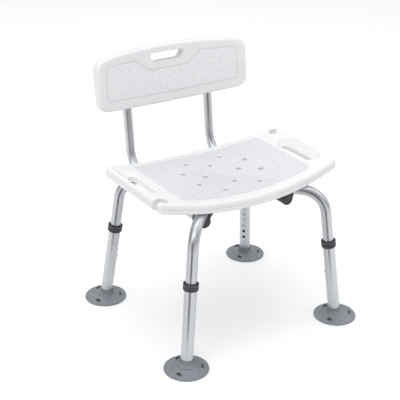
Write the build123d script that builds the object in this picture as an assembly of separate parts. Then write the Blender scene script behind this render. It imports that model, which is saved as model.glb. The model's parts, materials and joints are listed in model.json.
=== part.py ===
from build123d import *

import os
from math import atan2, cos, degrees, hypot, radians, sqrt, tan

# Shower chair: a dished plastic seat and a curved plastic backrest on a cross frame of
# bent aluminium tubes.  Millimetres, +Z up, -Y is the front, left and right as seen
# from the front.  The floor is z = 0 with the legs at their middle hole.

# ---- frame tubes ----
foot_track_x = 437.6        # foot centre to foot centre, left to right
foot_track_y = 380.6        # foot centre to foot centre, front to back
frame_height = 334.5        # centre of the legs' level runs under the seat
leg_lean = 8.1              # degrees that a leg leans in towards the middle
leg_tube = 25.4             # upper leg tube, outside
leg_wall = 1.5
leg_bend = 63.0             # centre line radius of the leg's bend
leg_insert = 110.0          # length of the leg's run that sits in the cross bracket
sleeve_wall = 1.3           # wall of the lower leg tube
slide_gap = 0.3             # radial gap between tubes that slide in each other
fit_gap = 0.15              # radial gap of pieces fixed in each other

# ---- height adjustment ----
hole_pitch = 19.0
hole_count = 7
hole_first = 66.0           # lowest hole above the floor, along the leg
rest_hole = 3               # the snap button stands in this hole, counted from 0
hole_radius = 4.0
button_radius = 3.7
button_proud = 2.0          # the button's tip stands this far out of the outer tube
button_edge = 1.1           # bevel round the tip
button_flange = 0.8         # thickness and overhang of the flange inside the tube
tube_below_button = 29.0    # upper tube's end below its button
sleeve_top = 205.0          # upper end of the lower tube, along the leg
spring_strip = 0.8          # thickness of the button's spring strip
spring_width = 9.0
spring_length = 44.0

# ---- collar ----
collar_height = 17.0
collar_wall = 2.4
collar_lip = 4.0            # part of the collar above the lower tube
collar_rib = 0.8
collar_flare = 1.2          # the cup's mouth is wider than the band by this

# ---- rubber foot ----
foot_radius = 51.75
foot_rim = 3.2              # thickness of the disc near its edge
foot_dome = 10.0            # height of the disc round the socket
foot_slope = (7.0, 5.2)     # heights on the way down from there to the rim
foot_bead = 1.2             # height of the bead round the edge
foot_ring = 3.5             # width of the flat ring that stands on the floor
foot_hollow = 3.4           # height of the hollow inside that ring
socket_height = 24.0
socket_wall = 2.6
socket_root = 5.3           # the disc's dome is wider than the socket by this
foot_floor = 7.0            # rubber under the tube
washer_thickness = 1.5
washer_bore = 5.0
tab_angles = (-30, 90, 210)
tab_inset = 14.75           # middle of a release tab, in from the foot's edge
tab_width = 11.0
tab_height = 8.0
tab_hole = 2.6
tab_thickness = 3.0

# ---- cross bracket ----
arm_wall = 2.6              # plastic round the leg tube
arm_past_tube = 15.5        # an arm runs on past the back tube that it crosses
arm_bevel = 2.5
hub_radius = 58.0
hub_wall = 3.0
hub_fillet = 16.0           # between the hub and the arms, in plan
rib_thickness = 3.0
web_between_tubes = 2.8     # plastic between a leg tube and the back tube under it
guide_wall = 3.0            # plastic round the back tube
guide_bevel = 1.2
guide_front_ends = (-6.0, 30.0)     # front guide, rearwards from the arm's middle line
guide_rear_ends = (-28.0, 24.0)     # rear guide, rearwards from the arm's middle line
guide_front_wall = 4.0      # closes the front guide
bolt_from_end = 53.0        # bolt through arm and leg tube, from the arm's end
bolt_radius = 2.5
bolt_head = 4.8
bolt_head_height = 2.8
nut_height = 4.0

# ---- seat ----
seat_width = 500.0
seat_depth = 246.0          # front to back at the two ends
seat_bow = 27.0             # bulge of the front and back edges at the middle
seat_dip = 28.3             # the middle lies this much below the two ends
seat_floor = 14.6           # plastic left over the cross bracket
seat_edge = 26.0            # depth of the rolled edge
seat_panel = 22.0           # depth of the seat inside its edge
seat_edge_width = 25.0
seat_corner = 16.0
seat_top_round = 8.0
seat_under_round = 6.0
seam_depth = 0.8            # moulding seam round the edge
seam_width = 2.2
seam_drop = 12.0            # seam below the seat's upper face
channel_room = 1.0          # the channels under the seat are wider than the arms by this
channel_past_arm = 21.0     # and run on beyond their ends
groove_width = 3.0
groove_depth = 1.3
groove_from_side = 68.0     # grooved line to the seat's ends
groove_from_edge = 26.0     # grooved line to the front and back edges
groove_corner = 15.0
drain_radius = 6.5
drain_sink = 2.0            # countersink round each drain hole
drain_quarters = ((48.2, 84.4), (88.2, 33.3))      # drain holes in each quarter of the seat
drain_on_x = 48.2
drain_on_y = 52.0
handle_inset = 39.0         # middle of a handle slot to the seat's end
handle_shift = 16.0         # the slot lies this far from the seat's cross line
handle_width = 23.0
handle_length = 112.0
handle_ledge = 2.0          # flat round the slot at the foot of its dished surround
handle_dish = 18.5          # depth of the dished surround below the rim
handle_slope = 48.0         # degrees from the vertical
notch_inset_x = 20.0        # middle of a hose notch to the seat's end
notch_inset_y = 19.0        # and to the corner of the front or back edge
notch_radius = 13.0
notch_mouth = 17.0
screw_reach = 38.0          # seat screws, from the bracket's middle
screw_radius = 2.5
screw_head = 4.7
screw_head_height = 2.4
screw_post = 4.0            # plastic round a seat screw
screw_bite = 9.0            # depth of the screw holes in the seat
screw_clear = 1.0           # the screws end this far short of that

# ---- backrest ----
back_width = 428.0
back_height = 121.0         # lower to upper edge at the two ends
back_over_seat = 122.6      # lower edge over the middle of the seat
back_thickness = 26.5
back_curve = 40.0           # depth of the hollow, ends to middle
back_tilt = 7.0             # degrees from the vertical
back_set = 219.0            # seat centre to the backrest's ends, on the line it tilts about
back_tilt_line = 73.0       # that line over the lower edge
back_crown = 11.0           # the upper edge rises this much at the middle
back_belly = 13.5           # the lower edge drops this much at the middle
back_corner = 27.0
back_round = 7.0
grip_below_top = 7.0
grip_height = 22.0
grip_half_top = 55.8
grip_half_low = 37.5
grip_corner = 7.0
back_groove_side = 25.0     # grooved line to the panel's ends
back_groove_top = 15.0      # grooved line to the upper edge
back_groove_low = 21.0      # grooved line to the lower edge
back_groove_dip = 30.0      # the line passes this far lower at the grip
back_groove_out = (36.0, 18.0)      # and this far outside the grip, above and below
back_groove_corner = 12.0

# ---- back tubes ----
back_tube = 22.0
back_tube_wall = 1.5
back_tube_spacing = 234.8
back_tube_bend = 76.0
back_tube_behind = 6.4      # the tube's axis behind the middle of the panel's thickness
back_tube_below_top = 20.0  # the tube ends this far below the panel's upper corners
back_tube_end_gap = 1.5
back_screw_low = 25.0       # lower screws, over the panel's lower edge
back_screw_high = 42.0      # upper screws, below the panel's upper edge
back_screw_bite = 8.0
tip_length = 14.0
tip_wall = 2.5

# ---- what follows from them ----
track_angle = degrees(atan2(foot_track_y, foot_track_x))
track_radius = hypot(foot_track_x, foot_track_y) / 2
lean_slope = tan(radians(leg_lean))
tilt_slope = tan(radians(back_tilt))
tube_inside = leg_tube / 2 - leg_wall
lower_outer = leg_tube + 2 * (slide_gap + sleeve_wall)
socket_bore = lower_outer / 2 + fit_gap
rest_button = hole_first + rest_hole * hole_pitch
back_inside = back_tube / 2 - back_tube_wall
back_tube_x = back_tube_spacing / 2
arm_y = back_tube_x * tan(radians(track_angle))     # where an arm crosses a back tube
arm_reach = hypot(back_tube_x, arm_y) + arm_past_tube
arm_width = leg_tube + 2 * (fit_gap + arm_wall)
bolt_reach = arm_reach - bolt_from_end
hub_top = frame_height + leg_tube / 2 + arm_wall
arm_bottom = frame_height - leg_tube / 2 - arm_wall
hub_height = hub_top - arm_bottom
back_run = frame_height - leg_tube / 2 - web_between_tubes - slide_gap - back_tube / 2
guide_radius = back_tube / 2 + slide_gap + guide_wall
guide_front = (guide_front_ends[0] - arm_y, guide_front_ends[1] - arm_y)
guide_rear = (guide_rear_ends[0] + arm_y, guide_rear_ends[1] + arm_y)
back_tube_front = guide_front[0] + guide_front_wall
back_button_y = (guide_rear[0] + guide_rear[1]) / 2
seat_centre_top = hub_top + seat_floor
seat_rim_top = seat_centre_top + seat_dip
seat_below = hub_top - 2 * seat_edge                # clear below the whole seat
handle_x = seat_width / 2 - handle_inset
notch_x = seat_width / 2 - notch_inset_x
notch_y = seat_depth / 2 - notch_inset_y
back_bottom = seat_centre_top + back_over_seat
back_top = back_bottom + back_height
tilt_height = back_bottom + back_tilt_line
grip_top = back_top - grip_below_top
back_tube_top = back_top - back_tube_below_top
back_screw_heights = (back_bottom + back_screw_low, back_top - back_screw_high)

LEGS = {
    "front_right": -track_angle,
    "back_right": track_angle,
    "back_left": 180 - track_angle,
    "front_left": 180 + track_angle,
}
SIDES = {"left": -1, "right": 1}
UP = (Align.CENTER, Align.CENTER, Align.MIN)
DOWN = (Align.CENTER, Align.CENTER, Align.MAX)


def closed(*points):
    """A flat face from its corners."""
    return make_face(Polyline(*points, close=True))


def turned(*points):
    """A solid turned about Z from half of its profile."""
    return revolve(Plane.XZ * closed(*points), axis=Axis.Z)


def pipe(path, outer, wall):
    """A round tube along a line."""
    start = Plane(origin=path @ 0, z_dir=path % 0)
    outside = sweep(start * Circle(outer / 2), path=path)
    return outside - sweep(start * Circle(outer / 2 - wall), path=path)


def arc_drop(half_chord, rise, x):
    """How far an arc lies from its crown at a distance from its middle."""
    radius = (half_chord**2 + rise**2) / (2 * rise)
    return radius - sqrt(radius**2 - x**2)


# ---------------------------------------------------------------- legs
# Each leg is made in the X-Z plane, foot outwards, and turned to its corner.
leg_line = Plane(origin=(track_radius, 0, 0), x_dir=(1, 0, lean_slope), z_dir=(-lean_slope, 0, 1))


def on_leg(along, outward=0.0):
    """A place on the leg's axis, measured along it from the floor."""
    return leg_line * Pos(outward, 0, along)


def on_arm(angle, reach):
    """A place on the axis of a leg tube's level run, with +X outwards."""
    return Rot(0, 0, angle) * Pos(reach, 0, frame_height)


def inward_hole(along, depth_from, depth_to):
    """A pin through the wall that faces the middle of the chair."""
    pin = Cylinder(hole_radius, depth_to - depth_from, align=UP)
    return on_leg(along, -depth_from) * Rot(0, -90, 0) * pin


def upper_leg():
    knee = track_radius - lean_slope * frame_height
    low = on_leg(rest_button - tube_below_button).position
    path = FilletPolyline(
        (low.X, 0, low.Z),
        (knee, 0, frame_height),
        (arm_reach - leg_insert, 0, frame_height),
        radius=leg_bend,
    )
    tube = pipe(path, leg_tube, leg_wall)
    tube -= inward_hole(rest_button, tube_inside - leg_wall, leg_tube / 2 + leg_wall)
    return tube - on_arm(0, bolt_reach) * Rot(90, 0, 0) * Cylinder(bolt_radius + fit_gap, 2 * leg_tube)


def lower_leg():
    start = foot_floor + washer_thickness
    length = sleeve_top - start
    tube = Cylinder(lower_outer / 2, length, align=UP) - Cylinder(leg_tube / 2 + slide_gap, length, align=UP)
    tube = on_leg(start) * tube
    for index in range(hole_count):
        tube -= inward_hole(hole_first + index * hole_pitch, tube_inside, lower_outer / 2 + sleeve_wall)
    return tube


def collar():
    """Ribbed plastic ring over the top of the lower tube, with a flared cup above it."""
    band = socket_bore + collar_wall
    bore = leg_tube / 2 + slide_gap
    shoulder = collar_height - collar_lip
    rib = shoulder / 5
    profile = [(socket_bore, 0), (band, 0)]
    for low in (rib, 3 * rib):
        profile += [(band, low), (band + collar_rib, low + collar_rib / 2)]
        profile += [(band + collar_rib, low + rib - collar_rib / 2), (band, low + rib)]
    profile += [(band, shoulder), (band + collar_flare, collar_height), (band - collar_flare, collar_height)]
    profile += [(bore, shoulder + collar_lip / 4), (bore, shoulder), (socket_bore, shoulder)]
    return on_leg(sleeve_top - shoulder) * turned(*profile)


def foot_disc():
    """Suction disc about Z: a cone down from the socket to a beaded rim, hollow underneath."""
    heights = (foot_dome, *foot_slope, foot_rim)
    start, bead = socket_bore + socket_wall + socket_root, foot_radius - 2 * foot_bead
    step = (bead - 2 * foot_bead - start) / (len(heights) - 1)
    profile = [(0, foot_dome)] + [(start + i * step, height) for i, height in enumerate(heights)]
    profile += [(bead, foot_rim), (bead + foot_bead, foot_rim + foot_bead), (foot_radius, foot_rim)]
    ring = foot_radius - foot_ring
    profile += [(foot_radius, 0), (ring, 0), (ring - foot_bead, foot_bead)]
    profile += [(start, foot_hollow), (0, foot_hollow)]
    return turned(*profile)


def foot_socket():
    """Flared socket about Z, which runs on down below the floor."""
    neck = socket_bore + socket_wall
    hem = neck + 2.5 * socket_root
    bend = (neck + (hem - neck) / 4, foot_rim + 0.4 * (socket_height - foot_rim))
    flare = ThreePointArc((hem, foot_rim), bend, (neck, socket_height))
    rest = Polyline(flare @ 1, (0, socket_height), (0, -foot_dome), (hem, -foot_dome), flare @ 0)
    return revolve(Plane.XZ * make_face([flare, *rest.edges()]), axis=Axis.Z)


def foot_tab():
    """Arched tab across X, with a hole, that breaks the suction when it is pulled."""
    arch = Pos(0, tab_height - tab_width / 2)
    plate = arch * Circle(tab_width / 2) & Pos(0, tab_height / 2) * Rectangle(tab_width, tab_height)
    return Rot(0, 0, 90) * extrude(Plane.XZ * (plate - arch * Circle(tab_hole)), tab_thickness / 2, both=True)


def rubber_foot(turn):
    """A suction disc that lies flat on the floor, with a socket in line with the leg."""
    centre = Pos(track_radius, 0, 0)
    inside_disc = centre * Pos(0, 0, foot_dome / 2) * Cylinder(foot_radius, 4 * foot_dome, align=DOWN)
    foot = centre * foot_disc() + (on_leg(0) * foot_socket() - inside_disc)
    foot -= on_leg(foot_floor) * Cylinder(socket_bore, 2 * socket_height, align=UP)
    for angle in tab_angles:
        foot += centre * Rot(0, 0, angle - turn) * Pos(foot_radius - tab_inset, 0, foot_rim) * foot_tab()
    return foot


def foot_washer():
    ring = Cylinder(lower_outer / 2, washer_thickness, align=UP) - Cylinder(washer_bore, 3 * washer_thickness)
    return on_leg(foot_floor) * ring


def snap_button(tip_distance, inside):
    """A pin along +X on a flange that bears on its tube's inner wall, and the place of its back."""
    flange_radius = button_radius + button_flange
    flange_top = sqrt(inside**2 - flange_radius**2) - fit_gap
    pin = Cylinder(button_radius, tip_distance - flange_top, align=UP)
    pin = chamfer(pin.edges().sort_by(Axis.Z)[-1], button_edge)
    flange = Cylinder(flange_radius, button_flange, align=DOWN)
    return Rot(0, 90, 0) * Pos(0, 0, flange_top) * (pin + flange), flange_top - button_flange


def snap_spring(near, inside):
    """V-shaped strip along Z inside a tube: one leaf behind the button, one on the far wall."""
    far = 2 * fit_gap - sqrt(inside**2 - (spring_width / 2) ** 2)
    nose, strip, tail = (near + far) / 2, spring_strip, spring_length / 3
    profile = [(near, -spring_width), (near, tail), (nose + 3 * strip, spring_length)]
    profile += [(nose - 3 * strip, spring_length), (far, tail), (far, 0)]
    profile += [(far + strip, 0), (far + strip, tail)]
    profile += [(nose - 2 * strip, spring_length - strip), (nose + 2 * strip, spring_length - strip)]
    profile += [(near - strip, tail), (near - strip, -spring_width)]
    return extrude(Plane.XZ * closed(*profile), spring_width / 2, both=True)


# ---------------------------------------------------------------- cross bracket
screw_places = [Rot(0, 0, angle) * Pos(screw_reach, 0) for angle in (0, 90, 180, 270)]


def cross(half_length, width):
    """Plan of two bars over the legs' runs."""
    bars = Sketch()
    for angle in (track_angle, -track_angle):
        bars += Rot(0, 0, angle) * Rectangle(2 * half_length, width)
    return bars


def bracket_plan(half_length, room):
    """Plan of the hub with its four arms, grown all round by a little room."""
    plan = cross(half_length, arm_width + 2 * room) + Circle(hub_radius + room)
    inner = [v for v in plan.vertices() if hypot(v.X, v.Y) < hub_radius + hub_wall]
    return fillet(inner, hub_fillet - room)


def guide(side, ends):
    """A sleeve for a back tube, hung under an arm by a web."""
    length = ends[1] - ends[0]
    sleeve = Cylinder(guide_radius, length)
    sleeve = chamfer(sleeve.edges().filter_by(GeomType.CIRCLE), guide_bevel)
    web_height = arm_bottom + arm_wall - back_run
    web = Box(2 * (guide_radius - guide_wall), length - 2 * guide_bevel, web_height, align=UP)
    return Pos(side * back_tube_x, (ends[0] + ends[1]) / 2, back_run) * (Rot(90, 0, 0) * sleeve + web)


def hub_pockets():
    """Plan of the pockets in the hub's underside, which leave ribs, screw posts and socket ends."""
    pockets = Circle(hub_radius - hub_wall - arm_bevel) - cross(2 * hub_radius, rib_thickness)
    pockets -= Rectangle(rib_thickness, 4 * hub_radius) + Rectangle(4 * hub_radius, rib_thickness)
    for place in screw_places:
        pockets -= place * Circle(screw_radius + screw_post)
    socket_end = arm_reach - leg_insert - hub_wall
    for angle in LEGS.values():
        pockets -= Rot(0, 0, angle) * Pos(socket_end + hub_radius, 0) * Rectangle(2 * hub_radius, arm_width)
    return pockets


def cross_bracket():
    hub = Pos(0, 0, arm_bottom) * extrude(bracket_plan(arm_reach, 0), hub_height)
    levels = hub.edges().group_by(Axis.Z)
    hub = chamfer([*levels[0], *levels[-1]], arm_bevel)
    for side in SIDES.values():
        for ends in (guide_front, guide_rear):
            hub += guide(side, ends)
    for angle in LEGS.values():
        socket = Cylinder(leg_tube / 2 + fit_gap, 2 * leg_insert, align=UP)
        hub -= on_arm(angle, arm_reach - leg_insert - fit_gap) * Rot(0, 90, 0) * socket
        hub -= on_arm(angle, bolt_reach) * Rot(90, 0, 0) * Cylinder(bolt_radius + fit_gap, 2 * arm_width)
    # the bores for the back tubes run through the rear guides and end in the front ones
    start = back_tube_front - slide_gap
    bore = Rot(90, 0, 0) * Cylinder(back_tube / 2 + slide_gap, 2 * guide_rear[1] - start, align=DOWN)
    button_hole = Cylinder(hole_radius, 2 * guide_radius, align=DOWN)
    for side in SIDES.values():
        hub -= Pos(side * back_tube_x, start, back_run) * bore
        hub -= Pos(side * back_tube_x, back_button_y, back_run) * button_hole
    hub -= Pos(0, 0, arm_bottom - hub_wall) * extrude(hub_pockets(), hub_height)
    for place in screw_places:
        hub -= Pos(0, 0, arm_bottom) * place * Cylinder(screw_radius + fit_gap, 3 * hub_height)
    return hub


def bolt_with_head(length):
    """A bolt down from a bevelled head that stands on z = 0."""
    head = Cylinder(bolt_head, bolt_head_height, align=UP)
    head = chamfer(head.edges().sort_by(Axis.Z)[-1], bolt_head_height / 2)
    return head + Cylinder(bolt_radius, length, align=DOWN)


def frame_bolts():
    """Bolts across the arms, one through each leg."""
    bolt = Rot(90, 0, 0) * Pos(0, 0, arm_width / 2) * bolt_with_head(arm_width + nut_height)
    return Compound([on_arm(angle, bolt_reach) * bolt for angle in LEGS.values()])


def frame_nuts():
    """Nuts on the other end of the frame bolts."""
    body = extrude(RegularPolygon(bolt_head, 6), nut_height) - Cylinder(bolt_radius, 3 * nut_height)
    nut = Rot(-90, 0, 0) * Pos(0, 0, arm_width / 2) * body
    return Compound([on_arm(angle, bolt_reach) * nut for angle in LEGS.values()])


def seat_screws():
    """Screws up through the bracket's posts into the seat."""
    shank = Cylinder(screw_radius, hub_height + screw_bite - screw_clear, align=UP)
    screw = shank + Cylinder(screw_head, screw_head_height, align=DOWN)
    return Compound([Pos(0, 0, arm_bottom) * place * screw for place in screw_places])


# ---------------------------------------------------------------- seat
def bowed(half_x, half_y, bow, corner):
    """Plan with straight ends and bulging front and back edges."""
    front = ThreePointArc((-half_x, -half_y), (0, -half_y - bow), (half_x, -half_y))
    back = ThreePointArc((half_x, half_y), (0, half_y + bow), (-half_x, half_y))
    face = make_face([front, Line(front @ 1, back @ 0), back, Line(back @ 1, front @ 0)])
    return fillet(face.vertices(), corner)


def seat_plan(inset):
    """The seat's outline, or a line inside it."""
    corner = max(seat_corner - inset, seat_corner / 2)
    return bowed(seat_width / 2 - inset, seat_depth / 2 - inset, seat_bow, corner)


def groove_plan(inset):
    """The line round the pebbled panel, or a line inside it."""
    half_x = seat_width / 2 - groove_from_side
    middle_y = seat_depth / 2 + seat_bow - groove_from_edge
    bow = arc_drop(seat_width / 2, seat_bow, half_x)
    return bowed(half_x - inset, middle_y - bow - inset, bow, groove_corner - inset)


def dished(upper, lower):
    """The space between two copies of the seat's dished surface, lowered by two depths."""
    half, ends, middle = seat_width / 2, seat_rim_top, seat_centre_top
    top = ThreePointArc((-half, ends - upper), (0, middle - upper), (half, ends - upper))
    low = ThreePointArc((half, ends - lower), (0, middle - lower), (-half, ends - lower))
    face = make_face([top, Line(top @ 1, low @ 0), low, Line(low @ 1, top @ 0)])
    return extrude(Plane.XZ * face, seat_depth, both=True)


def dish_height(x):
    """Height of the seat's upper face at a distance from the middle."""
    return seat_centre_top + arc_drop(seat_width / 2, seat_dip, x)


def through_seat(plan):
    """A plan drawn up through the whole height of the seat."""
    return Pos(0, 0, seat_below) * extrude(plan, 5 * seat_edge)


def rims(body, depth):
    """The edges that run round the seat at a depth below its upper face."""
    return [e for e in body.edges() if abs((e @ 0.5).Z + depth - dish_height((e @ 0.5).X)) < 1.0]


def drain_places():
    places = [(sx * x, sy * y) for x, y in drain_quarters for sx in (-1, 1) for sy in (-1, 1)]
    places += [(sx * drain_on_x, 0) for sx in (-1, 1)]
    places += [(0, sy * drain_on_y) for sy in (-1, 1)]
    return places


def handle_cut():
    """Slot beside the seat's right-hand end and the dished surround that leads into it."""
    slot = SlotOverall(handle_length, handle_width, rotation=90)
    ledge = SlotOverall(handle_length + 2 * handle_ledge, handle_width + 2 * handle_ledge, rotation=90)
    dish = Pos(0, 0, seat_rim_top - handle_dish) * extrude(ledge, 1.5 * handle_dish, taper=-handle_slope)
    return Pos(handle_x, -handle_shift, 0) * (through_seat(slot) + dish)


def notch_cut():
    """Round hose rest at the seat's back right-hand corner, open to the side."""
    plan = Circle(notch_radius) + Pos(2 * notch_radius, 0) * Rectangle(4 * notch_radius, notch_mouth)
    return Pos(notch_x, notch_y, 0) * through_seat(plan)


def seat():
    body = dished(0, seat_edge) & through_seat(seat_plan(0))
    body = fillet(rims(body, 0), seat_top_round)
    body = fillet(rims(body, seat_edge), seat_under_round)
    seam = through_seat(seat_plan(-seam_depth)) - through_seat(seat_plan(seam_depth))
    body -= dished(seam_drop, seam_drop + seam_width) & seam
    # the underside is recessed inside the rolled edge, with channels over the cross bracket
    body -= dished(seat_panel, 2 * seat_edge) & through_seat(seat_plan(seat_edge_width))
    channel = bracket_plan(arm_reach + channel_past_arm, channel_room)
    body -= Pos(0, 0, seat_below) * extrude(channel, hub_top - seat_below)
    body -= dished(-seat_edge, groove_depth) & through_seat(groove_plan(0) - groove_plan(groove_width))
    sink = Cone(drain_radius, drain_radius + drain_sink, drain_sink, align=DOWN)
    for x, y in drain_places():
        body -= Pos(x, y, seat_centre_top) * Cylinder(drain_radius, 4 * seat_edge)
        body -= Pos(x, y, dish_height(x) + drain_sink / 5) * sink
    for turn in (0, 180):
        body -= Rot(0, 0, turn) * handle_cut()
        body -= Rot(0, 0, turn) * notch_cut()
    for place in screw_places:
        body -= Pos(0, 0, hub_top) * place * Cylinder(screw_radius, 2 * screw_bite)
    return body


# ---------------------------------------------------------------- backrest
# Made upright about the line x = 0, y = back_set, and then tilted back.
back_plane = Pos(0, back_set, tilt_height) * Rot(-back_tilt, 0, 0) * Pos(0, -back_set, -tilt_height)


def back_band(front, rear):
    """The space between two curved sheets, front and rear of the panel's middle."""
    half, middle = back_width / 2, back_set + back_curve
    near = ThreePointArc((-half, back_set + front), (0, middle + front), (half, back_set + front))
    far = ThreePointArc((half, back_set + rear), (0, middle + rear), (-half, back_set + rear))
    face = make_face([near, Line(near @ 1, far @ 0), far, Line(far @ 1, near @ 0)])
    return Pos(0, 0, back_bottom - back_height / 2) * extrude(face, 2 * back_height)


def back_prism(face):
    """A front view drawn through the depth of the panel."""
    return Pos(0, back_set + back_curve / 2, 0) * extrude(Plane.XZ * face, 3 * back_curve, both=True)


def back_outline():
    half = back_width / 2
    bottom = ThreePointArc((-half, back_bottom), (0, back_bottom - back_belly), (half, back_bottom))
    top = ThreePointArc((half, back_top), (0, back_top + back_crown), (-half, back_top))
    face = make_face([bottom, Line(bottom @ 1, top @ 0), top, Line(top @ 1, bottom @ 0)])
    return fillet(face.vertices(), back_corner)


def grip_face():
    """Front view of the grip hole, wider at the top."""
    low, top = grip_top - grip_height, grip_top
    face = closed((-grip_half_low, low), (grip_half_low, low), (grip_half_top, top), (-grip_half_top, top))
    return fillet(face.vertices(), grip_corner)


def back_groove(inset):
    """Outline of the textured panel, which dips under the grip hole."""
    half = back_width / 2 - back_groove_side - inset
    low, high = back_bottom + back_groove_low + inset, back_top - back_groove_top - inset
    belly, dip = arc_drop(back_width / 2, back_belly, half), high - back_groove_dip
    shoulder, waist = grip_half_top + back_groove_out[0] + inset, grip_half_low + back_groove_out[1] + inset
    bottom = ThreePointArc((-half, low), (0, low - belly), (half, low))
    upper = [(half, low), (half, high), (shoulder, high), (waist, dip)]
    mirrored = [(-x, z) for x, z in reversed(upper)]
    face = make_face([bottom, *Polyline(*upper, *mirrored).edges()])
    return fillet(face.vertices(), back_groove_corner - inset)


def tube_axis_y(height):
    """The upright part of a back tube at a height."""
    behind_ends = back_curve - arc_drop(back_width / 2, back_curve, back_tube_x) + back_tube_behind
    return back_set + behind_ends / cos(radians(back_tilt)) + tilt_slope * (height - tilt_height)


def on_upright(side, height):
    """A place on a back tube's upright, with +Z up along it."""
    return Pos(side * back_tube_x, tube_axis_y(height), height) * Rot(-back_tilt, 0, 0)


def tube_channel(side):
    """Channel in the rear of the panel, closed above the tube's end and open to the rear."""
    radius = back_tube / 2 + fit_gap
    open_side = Box(2 * radius, 3 * radius, 2 * back_height, align=(Align.CENTER, Align.MIN, Align.MAX))
    bore = Cylinder(radius, 2 * back_height, align=DOWN)
    return on_upright(side, back_tube_top + back_tube_end_gap) * (bore + open_side)


def backrest():
    half_thick = back_thickness / 2
    panel = back_band(-half_thick, half_thick) & back_prism(back_outline())
    sheets = panel.faces().filter_by(GeomType.CYLINDER).sort_by(SortBy.AREA)[-2:]
    panel = fillet([e for f in sheets for e in f.edges()], back_round)
    panel -= back_prism(grip_face())
    line = back_prism(back_groove(0) - back_groove(groove_width))
    panel -= line & back_band(-back_thickness, groove_depth - half_thick)
    panel = back_plane * panel
    for side in SIDES.values():
        panel -= tube_channel(side)
        for height in back_screw_heights:
            bite = Cylinder(screw_radius, back_tube / 2 + back_screw_bite, align=UP)
            panel -= on_upright(side, height) * Rot(90, 0, 0) * bite
    return panel


def back_screws():
    """Two screws through each upright into the panel."""
    screw = Rot(-90, 0, 0) * Pos(0, 0, back_tube / 2) * bolt_with_head(back_tube + back_screw_bite)
    places = [on_upright(side, height) for side in SIDES.values() for height in back_screw_heights]
    return Compound([place * screw for place in places])


# ---------------------------------------------------------------- back tubes
def back_tube_part(side):
    x = side * back_tube_x
    corner = (x, tube_axis_y(back_run), back_run)
    end = (x, tube_axis_y(back_tube_top), back_tube_top)
    path = FilletPolyline((x, back_tube_front, back_run), corner, end, radius=back_tube_bend)
    tube = pipe(path, back_tube, back_tube_wall)
    tube -= Pos(x, back_button_y, back_run) * Cylinder(hole_radius, back_tube, align=DOWN)
    for height in back_screw_heights:
        tube -= on_upright(side, height) * Rot(90, 0, 0) * Cylinder(bolt_radius + fit_gap, 2 * back_tube)
    return tube


def back_tube_tip(side):
    """Plastic plug in the front end of a back tube."""
    radius = back_inside - fit_gap
    plug = Cylinder(radius, tip_length, align=DOWN)
    plug -= Pos(0, 0, -tip_wall) * Cylinder(radius - tip_wall, tip_length, align=DOWN)
    return Pos(side * back_tube_x, back_tube_front, back_run) * Rot(90, 0, 0) * plug


# ---------------------------------------------------------------- assembly
def build():
    """Every piece by name."""
    nodes = {
        "seat_shell": seat(),
        "cross_bracket": cross_bracket(),
        "frame_bolts": frame_bolts(),
        "frame_nuts": frame_nuts(),
        "seat_screws": seat_screws(),
        "backrest_panel": backrest(),
        "backrest_screws": back_screws(),
    }
    button, button_back = snap_button(lower_outer / 2 + button_proud, tube_inside)
    inward = on_leg(rest_button) * Rot(0, 0, 180)
    leg = {
        "leg_tube": upper_leg(),
        "extension_tube": lower_leg(),
        "collar": collar(),
        "foot_washer": foot_washer(),
        "leg_button": inward * button,
        "button_spring": inward * snap_spring(button_back, tube_inside),
    }
    for corner, angle in LEGS.items():
        nodes[f"{corner}_foot"] = Rot(0, 0, angle) * rubber_foot(angle)
        for name, piece in leg.items():
            nodes[f"{corner}_{name}"] = Rot(0, 0, angle) * piece

    button, button_back = snap_button(guide_radius + button_proud, back_inside)
    spring = snap_spring(button_back, back_inside)
    for name, side in SIDES.items():
        downwards = Pos(side * back_tube_x, back_button_y, back_run) * Rot(0, 0, -90) * Rot(0, 90, 0)
        nodes[f"{name}_back_tube"] = back_tube_part(side)
        nodes[f"{name}_back_tube_tip"] = back_tube_tip(side)
        nodes[f"{name}_back_button"] = downwards * button
        nodes[f"{name}_back_button_spring"] = downwards * spring
    return nodes


parts = build()

# the origin is on the floor under the middle of the whole chair
box = Compound(list(parts.values())).bounding_box()
to_origin = Pos(-(box.min.X + box.max.X) / 2, -(box.min.Y + box.max.Y) / 2, -box.min.Z)
os.makedirs("parts", exist_ok=True)
for node, shape in parts.items():
    export_step(to_origin * shape, f"parts/{node}.step")
    print(node, len(shape.solids()), round(shape.volume))
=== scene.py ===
"""Looks of the shower chair: finishes, fittings and studio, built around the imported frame."""

import json
import logging
from collections.abc import Callable
from dataclasses import dataclass, field
from enum import Enum
from math import atan2, cos, hypot, pi, radians, sin, tan
from typing import ClassVar

import bmesh
import bpy
from mathutils import Matrix, Vector

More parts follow.
